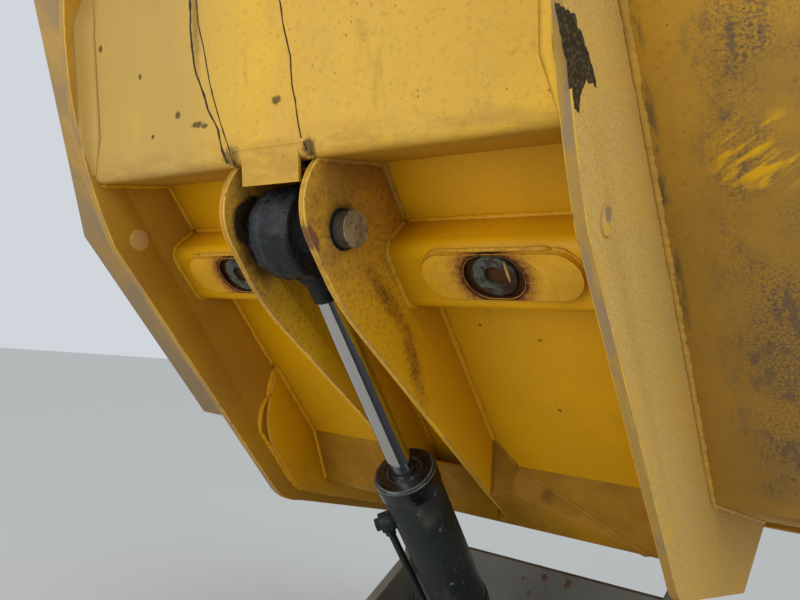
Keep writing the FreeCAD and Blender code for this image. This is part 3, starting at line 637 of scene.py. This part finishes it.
def smoothByAngle(limit):        # rounds are shaded smooth, folds and cut edges stay crisp
    group = bpy.data.node_groups.new("smoothByAngle", "GeometryNodeTree")
    group.interface.new_socket("Geometry", in_out="INPUT", socket_type="NodeSocketGeometry")
    group.interface.new_socket("Geometry", in_out="OUTPUT", socket_type="NodeSocketGeometry")
    start, end = addNode(group, "NodeGroupInput"), addNode(group, "NodeGroupOutput")
    angle = addNode(group, "GeometryNodeInputMeshEdgeAngle")
    soft = addNode(group, "FunctionNodeCompare", {"A": angle.outputs[0]}, {"B": limit},
                   data_type="FLOAT", operation="LESS_THAN")
    faces = addNode(group, "GeometryNodeSetShadeSmooth", {"Geometry": start.outputs[0]},
                    {"Shade Smooth": True}, domain="FACE")
    edges = addNode(group, "GeometryNodeSetShadeSmooth",
                    {"Geometry": faces.outputs[0], "Shade Smooth": soft.outputs[0]}, domain="EDGE")
    group.links.new(edges.outputs[0], end.inputs[0])
    return group


smoothGroup = smoothByAngle(meshCare["smoothTo"])


def dressNode(obj, faceFinish, edgeFinish, bevelMm):
    obj.data.materials.clear()
    obj.data.materials.append(finish[faceFinish])
    obj.data.materials.append(finish[edgeFinish])
    weld = obj.modifiers.new("weld", "WELD")
    weld.merge_threshold = meshCare["merge"]
    flat = obj.modifiers.new("flat", "DECIMATE")
    flat.decimate_type = "DISSOLVE"
    flat.angle_limit = meshCare["flat"]
    if bevelMm:
        bevel = obj.modifiers.new("bevel", "BEVEL")
        bevel.width = bevelMm * mm
        bevel.segments = meshCare["segments"]
        bevel.limit_method = "ANGLE"
        bevel.angle_limit = meshCare["bevelFrom"]
        bevel.material = 1
        bevel.harden_normals = False
    obj.modifiers.new("smooth", "NODES").node_group = smoothGroup


for name, obj in nodes.items():
    row = next(r for r in dressing if name.startswith(r[0]))
    dressNode(obj, *row[1:])
print("nodes dressed")


# Shared making of pieces. A piece is joined from skins, each its points and faces in millimetres.
def newPiece(name, skins, place, body, material, smooth=True):
    verts, faces = [], []
    for points, sides in skins:
        base = len(verts)
        verts += [tuple(place @ p) for p in points]
        faces += [tuple(i + base for i in side) for side in sides]
    mesh = bpy.data.meshes.new(name)
    mesh.from_pydata(verts, [], faces)
    mesh.materials.append(material)
    mesh.polygons.foreach_set("use_smooth", [smooth] * len(mesh.polygons))
    mesh.validate()
    edit = bmesh.new()
    edit.from_mesh(mesh)
    bmesh.ops.recalc_face_normals(edit, faces=edit.faces)
    edit.to_mesh(mesh)
    edit.free()
    obj = bpy.data.objects.new(name, mesh)
    bpy.context.scene.collection.objects.link(obj)
    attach(obj, body)
    return obj


def tube(rings, closed=False):   # rings of equal length joined into a skin, capped unless closed
    points = [p for ring in rings for p in ring]
    n = len(rings[0])
    pairs = [(i, (i + 1) % len(rings)) for i in range(len(rings) if closed else len(rings) - 1)]
    sides = [(a * n + j, a * n + (j + 1) % n, b * n + (j + 1) % n, b * n + j)
             for a, b in pairs for j in range(n)]
    if not closed:
        last = (len(rings) - 1) * n
        sides += [tuple(reversed(range(n))), tuple(range(last, last + n))]
    return points, sides


def roundTurn(count, start=0.0):         # angles at even steps all the way round
    return [start + 2 * math.pi * j / count for j in range(count)]


def spread(run, step):           # (point, u, v) at even steps along a run of such triples
    out = []
    for (p, u, v), (q, u2, v2) in zip(run, run[1:]):
        count = max(1, round((q - p).length / step))
        for i in range(count):
            t = i / count
            out.append((p.lerp(q, t), u.lerp(u2, t).normalized(), v.lerp(v2, t).normalized()))
    out.append(run[-1])
    return out


# Weld beads: fillets in inner corners, with the ripples of the weld pool
beadMaking = {
    "step": 2.4, "across": 5, "sunk": 0.8, "feather": 0.3, "taper": 9, "firstSize": 0.2,
    "pitch": 7.0, "lag": 0.45, "rippleHeight": 0.10,
    "wanderSizes": (28, 7), "fineShare": 0.8,
}
weldStyles = {
    # finish, ripple of the weld pool, bulge, wander of its width
    "pan": {"finish": "pan", "ripple": 0.30, "bulge": 0.10, "wander": 0.30},
    "ear": {"finish": "ear", "ripple": 0.30, "bulge": 0.10, "wander": 0.30},
    "rearBox": {"finish": "rearBox", "ripple": 0.0, "bulge": -0.28, "wander": 0.0, "taper": 90},
    "front": {"finish": "front", "ripple": 0.30, "bulge": 0.10, "wander": 0.30},
    "lumpy": {"finish": "weld", "ripple": 0.35, "bulge": 0.24, "wander": 0.34},
}
frameBead = {"ripple": 0.35, "bulge": 0.24, "wander": 0.22}


def bead(run, leg, seed, style):
    b = beadMaking
    samples = spread(run, b["step"])
    coarse, fine = b["wanderSizes"]
    rings = []
    along = 0.0
    for i, (p, u, v) in enumerate(samples):
        if i:
            along += (p - samples[i - 1][0]).length
        toEnd = min(i, len(samples) - 1 - i) * b["step"]
        swell = (noise.noise(Vector((along / coarse, seed, 0)))
                 + b["fineShare"] * noise.noise(Vector((along / fine, seed, 3))))
        full = min(1, b["firstSize"] + toEnd / style.get("taper", b["taper"]))
        size = leg * (1 + style["wander"] * swell) * full
        crest = (u + v).normalized()
        ring = [p - crest * b["sunk"]]
        for j in range(b["across"] + 1):
            t = j / b["across"]
            arch = math.sin(math.pi * t)
            wave = 0.5 + 0.5 * math.cos(2 * math.pi * (along / b["pitch"] - b["lag"] * arch))
            push = (size * (style["bulge"] * arch + b["rippleHeight"] * style["ripple"] * wave * arch)
                    - b["feather"] * (1 - arch))
            ring.append(p + (u * (1 - t) + v * t) * size + crest * push)
        rings.append(ring)
    return tube(rings)


def beadPair(run, leg, seed, style):     # the same seam on the right and on the left
    flip = Vector((-1, 1, 1))
    mirrored = [(p * flip, u * flip, v * flip) for p, u, v in run]
    return [bead(run, leg, seed, style), bead(mirrored, leg, seed + 1, style)]


def beside(x, side, profile):    # a run of (point, leg, leg) where a sheet's profile meets a plate
    run = []
    for i, (y, z) in enumerate(profile):
        before, after = profile[max(i - 1, 0)], profile[min(i + 1, len(profile) - 1)]
        n = Vector((0, after[1] - before[1], before[0] - after[0])).normalized()
        run.append((Vector((x, y, z)), Vector((side, 0, 0)), n))
    return run


def arc(y, z, r, a0, a1, steps=5):
    angles = [math.radians(a0 + (a1 - a0) * i / steps) for i in range(steps + 1)]
    return [(y + r * math.cos(a), z + r * math.sin(a)) for a in angles]


# The skip's main sizes in its own frame, as in the part, where its seams lie
skipSizes = {
    "web": 489, "webOut": 507, "ear": 83, "earOut": 95, "pan": 152, "floor": 230, "fold": 837,
    "slope": 0.695, "lug": 396, "lugOut": 421, "doubler": 477, "panEnd": 727,
    "channel": {"rear": 82, "front": 222, "bottom": 70, "bend": 25},
}


def onRamp(y):
    return (y, skipSizes["floor"] + skipSizes["slope"] * (y - skipSizes["fold"]))


def skipSeams(s):
    pan, floor, fold = s["pan"], s["floor"], s["fold"]
    rear, front, bottom, bend = s["channel"].values()
    low = bottom + bend
    channel = ([(rear, pan), (rear, low)] + arc(rear + bend, low, bend, 180, 270)
               + arc(front - bend, low, bend, 270, 360) + [(front, pan)])
    recess = [(-117, 18), (-35, pan)]
    doublerEdge = ([(496, 148), (542, 87)] + arc(625, 98, 84, 188, 248) + [(655, 20), (742, 18), (800, 22)]
                   + [(823, 30), (991, 140), (1180, 270)])
    return [
        # style, x, way the seam's other leg runs, profile (y, z), leg
        ("ear", s["earOut"], 1, recess + [(80, pan)], 7),
        ("ear", s["earOut"], 1, channel, 6),
        ("pan", s["earOut"], 1, [(front, pan), (648, pan)], 8),
        ("pan", s["ear"], -1, [(-28, pan), (700, pan)], 8),
        ("rearBox", s["web"], -1, [(-436, 226), (-365, 164), (-139, 14)], 30),
        ("pan", s["web"], -1, [(-118, 16), (-35, pan), (80, pan)], 7),
        ("pan", s["web"], -1, channel, 6),
        ("pan", s["web"], -1, [(front, pan), (490, pan)], 7),
        ("pan", s["web"], -1, doublerEdge, 8),
        ("pan", s["doubler"], -1, [(497, pan), (s["panEnd"], pan), (872, 105)], 7),
        ("lumpy", s["webOut"], 1, [(-500, floor), (fold, floor)], 9),
        ("lumpy", s["webOut"], 1, [(fold, floor), onRamp(1425)], 9),
        ("lumpy", s["lug"], -1, [onRamp(1134), onRamp(1366)], 10),
        ("lumpy", s["lugOut"], 1, [onRamp(1134), onRamp(1366)], 10),
    ]


toeSeams = [
    # ends, way along the plate, way along the toe box, leg
    ((95, 650, 152), (95, 741, 72), (0, -0.66, -0.75), (0.573, 0.541, 0.615), 6),
    ((95, 650, 152), (131, 727, 152), (0.906, -0.424, 0), (-0.397, 0.185, -0.899), 6),
    ((131, 727, 152), (405, 880, 102), (0.507, -0.818, 0.267), (-0.408, 0.479, -0.780), 6),
]
padRun = {"x": (160, 442), "y": 137, "z": 70, "r": 45, "leg": 5}
channelRun = {"x": (98, 486), "leg": 6}


def padSeam(s):          # round the pads, on the channels' undersides
    run = []
    left, right = s["x"]
    for x, start in ((right - s["r"], -90), (left + s["r"], 90)):
        for i in range(9):
            a = math.radians(start + 180 * i / 8)
            way = Vector((math.cos(a), math.sin(a), 0))
            run.append((Vector((x, s["y"], s["z"])) + way * s["r"], way, Vector((0, 0, -1))))
    return run + run[:1]


def channelSeam(s, y, way):      # along a cross channel's edge, on the pan's underside
    return [(Vector((x, y, skipSizes["pan"])), Vector((0, way, 0)), Vector((0, 0, -1))) for x in s["x"]]


def makeSkipWelds():
    seams = [(style, beside(*row), leg) for style, *row, leg in skipSeams(skipSizes)]
    for a, b, u, v, leg in toeSeams:
        seams.append(("front", [(Vector(p), Vector(u), Vector(v)) for p in (a, b)], leg))
    seams.append(("ear", padSeam(padRun), padRun["leg"]))
    for key, way in (("rear", -1), ("front", 1)):
        seams.append(("pan", channelSeam(channelRun, skipSizes["channel"][key], way), channelRun["leg"]))
    for key, style in weldStyles.items():
        skins = []
        for i, (_, run, leg) in enumerate([seam for seam in seams if seam[0] == key]):
            skins += beadPair(run, leg, 3 * i + 0.5, style)
        newPiece(key + "Welds", skins, onSkip, "skip", finish[style["finish"]])


def makeFrameWelds():
    up, out, rear, front = Vector((0, 0, 1)), Vector((1, 0, 0)), Vector((0, -1, 0)), Vector((0, 1, 0))
    seams = [
        # ends, first leg's way, second leg's way, leg
        ((390, -320, 20), (390, 286, 20), out, up, 10),
        ((360, -300, 20), (360, 286, 20), -out, up, 10),
        ((93, -128, 20), (93, 128, 20), out, up, 9),
        ((68, -128, 20), (68, 128, 20), -out, up, 9),
        ((360, 37, 252), (360, 37, 484), -out, rear, 9),
        ((360, 62, 252), (360, 62, 484), -out, front, 9),
    ]
    skins = []
    for i, (a, b, u, v, leg) in enumerate(seams):
        skins += beadPair([(Vector(p), u, v) for p in (a, b)], leg, 50 + 3 * i, frameBead)
    across = [(Vector((x, -303, 20)), front, up) for x in (-350, 350)]
    skins.append(bead(across, 9, 81, frameBead))
    newPiece("frameWelds", skins, onFrame, "frame", finish["frameWeld"])


makeSkipWelds()
makeFrameWelds()
print("welds laid")


# Runs of old oil on the rear box, from its top down to the ram's ears
oilRuns = {
    "widths": (4.6, 2.6, 2.9), "height": 0.9, "edge": 0.15, "sunk": 0.6, "step": 4,
    "wander": 1.6, "wanderSize": 22, "swell": 0.7, "swellSize": 14,
    "lines": [
        # points (x, y) on the rear box, in the skip's frame
        [(-178, -438), (-176, -420), (-173, -364), (-176, -330), (-174, -296), (-166, -260), (-148, -230),
         (-140, -209), (-117, -179), (-109, -151), (-98, -131)],
        [(-150, -438), (-154, -410), (-157, -361), (-155, -327), (-143, -291), (-134, -249), (-121, -213),
         (-109, -185), (-94, -156), (-85, -135), (-80, -127)],
        [(30, -438), (33, -400), (36, -327), (44, -288), (54, -256), (56, -219), (63, -193), (66, -168),
         (71, -152), (82, -135)],
    ],
}
rearBoxSide = [(-441, 230), (-365, 164), (-125, 5)]      # (y, z) of the rear box's outer side


def onRearBox(x, y, lift):
    (y0, z0), (y1, z1) = rearBoxSide[:2] if y < rearBoxSide[1][0] else rearBoxSide[1:]
    z = z0 + (y - y0) * (z1 - z0) / (y1 - y0)
    away = Vector((0, z1 - z0, -(y1 - y0))).normalized()
    return Vector((x, y, z)) + away * lift


def makeOilRuns(o):
    skins = []
    for k, line in enumerate(o["lines"]):
        path = []
        for (x0, y0), (x1, y1) in zip(line, line[1:]):
            count = max(2, round(math.hypot(x1 - x0, y1 - y0) / o["step"]))
            path += [(x0 + (x1 - x0) * i / count, y0 + (y1 - y0) * i / count) for i in range(count)]
        path.append(line[-1])
        rings = []
        for x, y in path:
            x += o["wander"] * noise.noise(Vector((y / o["wanderSize"], k, 0)))
            w = o["widths"][k] * (1 + o["swell"] * noise.noise(Vector((y / o["swellSize"], k, 5)))) / 2
            section = [(-w, -o["sunk"]), (-w, o["edge"]), (-w / 2, o["height"]),
                       (w / 2, o["height"]), (w, o["edge"]), (w, -o["sunk"])]
            rings.append([onRearBox(x + off, y, lift) for off, lift in section])
        skins.append(tube(rings))
    newPiece("oilRuns", skins, onSkip, "skip", finish["oil"])


makeOilRuns(oilRuns)


# Black patch left on the right web's outer face, near its free edge
tarPatch = {
    "thick": 0.5, "sunk": 0.3, "steps": 8, "shake": 5.5, "shakeSize": 14,
    "outline": [(-261, 22), (-247, 46), (-227, 67), (-196, 80), (-168, 85), (-133, 88), (-146, 72),
                (-156, 62), (-152, 48), (-149, 32), (-131, 15), (-140, 8), (-152, 8), (-165, 13),
                (-178, 9), (-196, 16), (-211, 14), (-228, 20), (-242, 17)],
}


def makeTarPatch(t):
    rim = []
    outline, steps, size = t["outline"], t["steps"], t["shakeSize"]
    for (y0, z0), (y1, z1) in zip(outline, outline[1:] + outline[:1]):
        for i in range(steps):
            y, z = y0 + (y1 - y0) * i / steps, z0 + (z1 - z0) * i / steps
            shake = t["shake"] * noise.fractal(Vector((y / size, z / size, 3)), 0.8, 2.0, 4)
            rim.append((y + shake, z - shake))
    x = skipSizes["webOut"]
    skin = tube([[Vector((x + off, y, z)) for y, z in rim] for off in (-t["sunk"], t["thick"])])
    newPiece("tarPatch", [skin], onSkip, "skip", finish["tar"], smooth=False)


makeTarPatch(tarPatch)
print("oil runs and patch laid")


# Old grease squeezed out round the ram's eye and the pin
eyeGrease = {
    "eyeR": 74, "half": 42, "spacerR": 50, "spacerHalf": 77, "innerR": 40, "crown": 2.5,
    "steps": 12, "around": 96, "film": 0.4, "lump": 5.0, "lumpSize": 22, "droop": 4.0, "dropSize": 14,
}
pinGrease = {"around": 96, "wide": (5.5, 3.0), "high": (2.2, 1.2), "sunk": 0.3}
pinEnds = {
    "from": 111.5, "to": 120.5, "r": 30, "chamfer": 1.5, "centre": 3.0, "deep": 3.0, "tip": 0.4,
    "around": 64,
}


def eyeProfile(g):       # half section of the eye and its spacers, (x, radius), with a film of grease
    half, far, eyeR, spacerR = g["half"], g["spacerHalf"] - 1, g["eyeR"], g["spacerR"]
    start = [(-far, g["innerR"]), (-far, spacerR + 1), (-half - 2, spacerR + 2), (-half - 1.5, eyeR - 6)]
    over = [(-half + 2 * half * i / g["steps"],
             eyeR + 1.2 - g["crown"] * abs(2 * i / g["steps"] - 1) ** 6) for i in range(g["steps"] + 1)]
    return start + over + [(-x, r) for x, r in reversed(start)]


def makeEyeGrease(g):
    down = (onRam.inverted().to_3x3() @ Vector((0, 0, -1))).normalized()
    rings = []
    for x, r in eyeProfile(g):
        ring = []
        for a in roundTurn(g["around"]):
            way = Vector((0, math.cos(a), math.sin(a)))
            spot = Vector((x, r * way.y, r * way.z))
            lumps = max(0.0, noise.fractal(spot / g["lumpSize"], 1.0, 2.0, 4) + 0.15) * g["lump"]
            drip = 0.5 + noise.noise(spot / g["dropSize"] + Vector((7, 0, 0)))
            sag = max(0.0, way.dot(down)) ** 3 * g["droop"] * drip
            grow = g["film"] + (lumps + sag if r > g["innerR"] else 0)
            ring.append(Vector((x, 0, ramLength)) + way * (r + grow))
        rings.append(ring)
    newPiece("eyeGrease", [tube(rings)], onRam, "rod", finish["grease"])


def makePinGrease(g):    # a lumpy ring of black grease where each pin leaves its ear, which also serves as painted shadow round the pin
    skins = []
    for side in (-1, 1):
        out = Vector((side, 0, 0))
        rings = []
        for a in roundTurn(g["around"]):
            way = Vector((0, math.cos(a), math.sin(a)))
            n = noise.noise(way * 1.2 + out) + 0.3 * noise.noise(way * 5)
            wide, high = (least + more * n for least, more in (g["wide"], g["high"]))
            start = out * skipSizes["earOut"] + way * (pinEnds["r"] - g["sunk"])
            rings.append([start - out * 0.5, start + out * high, start + way * wide * 0.6 + out * high * 0.6,
                          start + way * wide - out * g["sunk"]])
        skins.append(tube(rings, closed=True))
    newPiece("pinGrease", skins, onSkip, "skip", finish["grease"])


def makePinEnds(e):      # chamfered end of each head pin, with the lathe's centre hole
    profile = [(e["from"], e["r"]), (e["to"] - e["chamfer"], e["r"]), (e["to"], e["r"] - e["chamfer"]),
               (e["to"], e["centre"]), (e["to"] - e["deep"], e["tip"])]
    skins = [tube([[Vector((side * x, r * math.cos(a), r * math.sin(a))) for a in roundTurn(e["around"])]
                   for x, r in profile]) for side in (-1, 1)]
    obj = newPiece("pinEnds", skins, onSkip, "skip", finish["pin"])
    obj.modifiers.new("smooth", "NODES").node_group = smoothGroup


makeEyeGrease(eyeGrease)
makePinGrease(pinGrease)
makePinEnds(pinEnds)
print("grease and pin ends laid")


# Bolts, nuts and pipe fittings
def prism(place, sides, radius, height, chamfer=0.12, turn=0.0):
    cut = chamfer * height
    levels = ((1 - chamfer, 0), (1, cut), (1, height - cut), (1 - chamfer, height))
    return tube([[place @ Vector((radius * share * math.cos(a), radius * share * math.sin(a), z))
                  for a in roundTurn(sides, turn)] for share, z in levels])


# A bolt's parts, as shares of the size across its head's flats
boltShape = {"washerR": 0.95, "washerHigh": 0.16, "headFrom": 0.15, "headR": 0.577, "headHigh": 0.62}


def bolt(place, across):         # place: millimetre frame with z out of the face
    washerR, washerHigh, headFrom, headR, headHigh = (across * share for share in boltShape.values())
    return [prism(place, 24, washerR, washerHigh, 0.2),
            prism(place @ Matrix.Translation((0, 0, headFrom)), 6, headR, headHigh, 0.1, 0.3)]


keeperBolts = {"x": 348, "drops": (-44, -62), "across": 11}


def makeBolts(b):
    skins = []
    hinge = sum(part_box("hinge_pin_right"), Vector()) / 2 / mm
    for side in (-1, 1):
        inward = Matrix.Rotation(-side * math.pi / 2, 4, "Y")
        for drop in b["drops"]:
            place = Matrix.Translation((side * b["x"], hinge.y, hinge.z + drop)) @ inward
            skins += bolt(place, b["across"])
    newPiece("keeperBolts", skins, onFrame, "frame", finish["zinc"], smooth=False)


fittings = {
    "upper": 778, "lower": 165, "turn": math.radians(41),
    "port": {"reach": 90, "r": 15, "high": 12},
    "nut": {"reach": 79, "from": 21, "r": 12.5, "high": 16},
    "band": {"at": 470, "barrelR": 65, "pipe": 26, "pipeTurn": 0.2, "thick": 3, "half": 9, "around": 64},
}


def makeFittings(s):
    skins = []
    turned = Matrix.Rotation(s["turn"], 4, "Z")
    port, nut, strap = s["port"], s["nut"], s["band"]
    for at in (s["upper"], s["lower"]):
        place = turned @ Matrix.Translation((-port["reach"], 0, at)) @ Matrix.Rotation(-math.pi / 2, 4, "Y")
        skins.append(prism(place, 6, port["r"], port["high"], 0.12, 0.2))
    for at, way in ((s["upper"] - nut["from"], -1), (s["lower"] + nut["from"], 1)):
        place = turned @ Matrix.Translation((-nut["reach"], 0, at)) @ Matrix.Scale(way, 4, Vector((0, 0, 1)))
        skins.append(prism(place, 6, nut["r"], nut["high"], 0.1, 0.5))
    rings = []
    low, high = strap["at"] - strap["half"], strap["at"] + strap["half"]
    for a in roundTurn(strap["around"]):         # the band that holds the pipe to the barrel
        way = Vector((-math.cos(a), math.sin(a), 0))
        near = min(a, 2 * math.pi - a) / strap["pipeTurn"]
        reach = strap["barrelR"] + strap["pipe"] * math.exp(-near ** 4)
        outer, inner = turned @ (way * reach), turned @ (way * (reach - strap["thick"]))
        rings.append([Vector((spot.x, spot.y, z))
                      for spot, z in ((inner, low), (outer, low), (outer, high), (inner, high))])
    skins.append(tube(rings, closed=True))
    newPiece("pipeFittings", skins, onRam, "barrel", finish["ram"], smooth=False)


makeBolts(keeperBolts)
makeFittings(fittings)
print("bolts and fittings set")


# Studio: pale floor, soft lamps, and a dark card that only the chrome sees, where a chassis would show
studioSetup = {
    "floor": {"shade": "#DCDCD8", "half": 30.0, "rough": 0.95},
    "world": "#E6ECF2", "worldStrength": 0.8,
    "card": {"shade": "#22282E", "z": 0.004,
             "outline": [(0.24, -0.50), (0.30, -0.80), (0.50, -1.40), (0.9, -2.2), (8.0, -2.2), (8.0, 6.5),
                         (0.30, 0.35)]},
    "lamps": [
        # name, place, aim, size, watts
        ("key", (-1.3, -4.6, 1.2), (0, -0.6, 1.3), 3.2, 43),
        ("side", (4.5, -1.5, 2.2), (0, -0.5, 1.2), 3.0, 32),
    ],
    "spread": math.radians(120),
}


def laySheet(name, outline, z, shade):       # one flat sheet of the studio
    mesh = bpy.data.meshes.new(name)
    mesh.from_pydata([(x, y, z) for x, y in outline], [], [tuple(range(len(outline)))])
    mat, _, shader = newMaterial(name)
    shader.inputs["Base Color"].default_value = colour(shade)
    mesh.materials.append(mat)
    obj = bpy.data.objects.new(name, mesh)
    bpy.context.scene.collection.objects.link(obj)
    return obj, shader


def makeStudio(s):
    half = s["floor"]["half"]
    square = [(-half, -half), (half, -half), (half, half), (-half, half)]
    _, matt = laySheet("floor", square, 0, s["floor"]["shade"])
    matt.inputs["Roughness"].default_value = s["floor"]["rough"]
    matt.inputs["Specular IOR Level"].default_value = 0.0
    card, _ = laySheet("darkCard", s["card"]["outline"], s["card"]["z"], s["card"]["shade"])
    card.visible_camera = False
    card.visible_diffuse = False
    card.visible_shadow = False
    world = bpy.data.worlds.new("studio")
    world.use_nodes = True
    sky = world.node_tree.nodes["Background"]
    sky.inputs[0].default_value = colour(s["world"])
    sky.inputs[1].default_value = s["worldStrength"]
    bpy.context.scene.world = world
    for name, place, aim, size, watts in s["lamps"]:
        light = bpy.data.lights.new(name, "AREA")
        light.size = size
        light.energy = watts
        light.spread = s["spread"]
        lamp = bpy.data.objects.new(name, light)
        bpy.context.scene.collection.objects.link(lamp)
        lamp.location = place
        lamp.rotation_euler = (Vector(aim) - Vector(place)).to_track_quat("-Z", "Y").to_euler()


makeStudio(studioSetup)
print("studio lit")
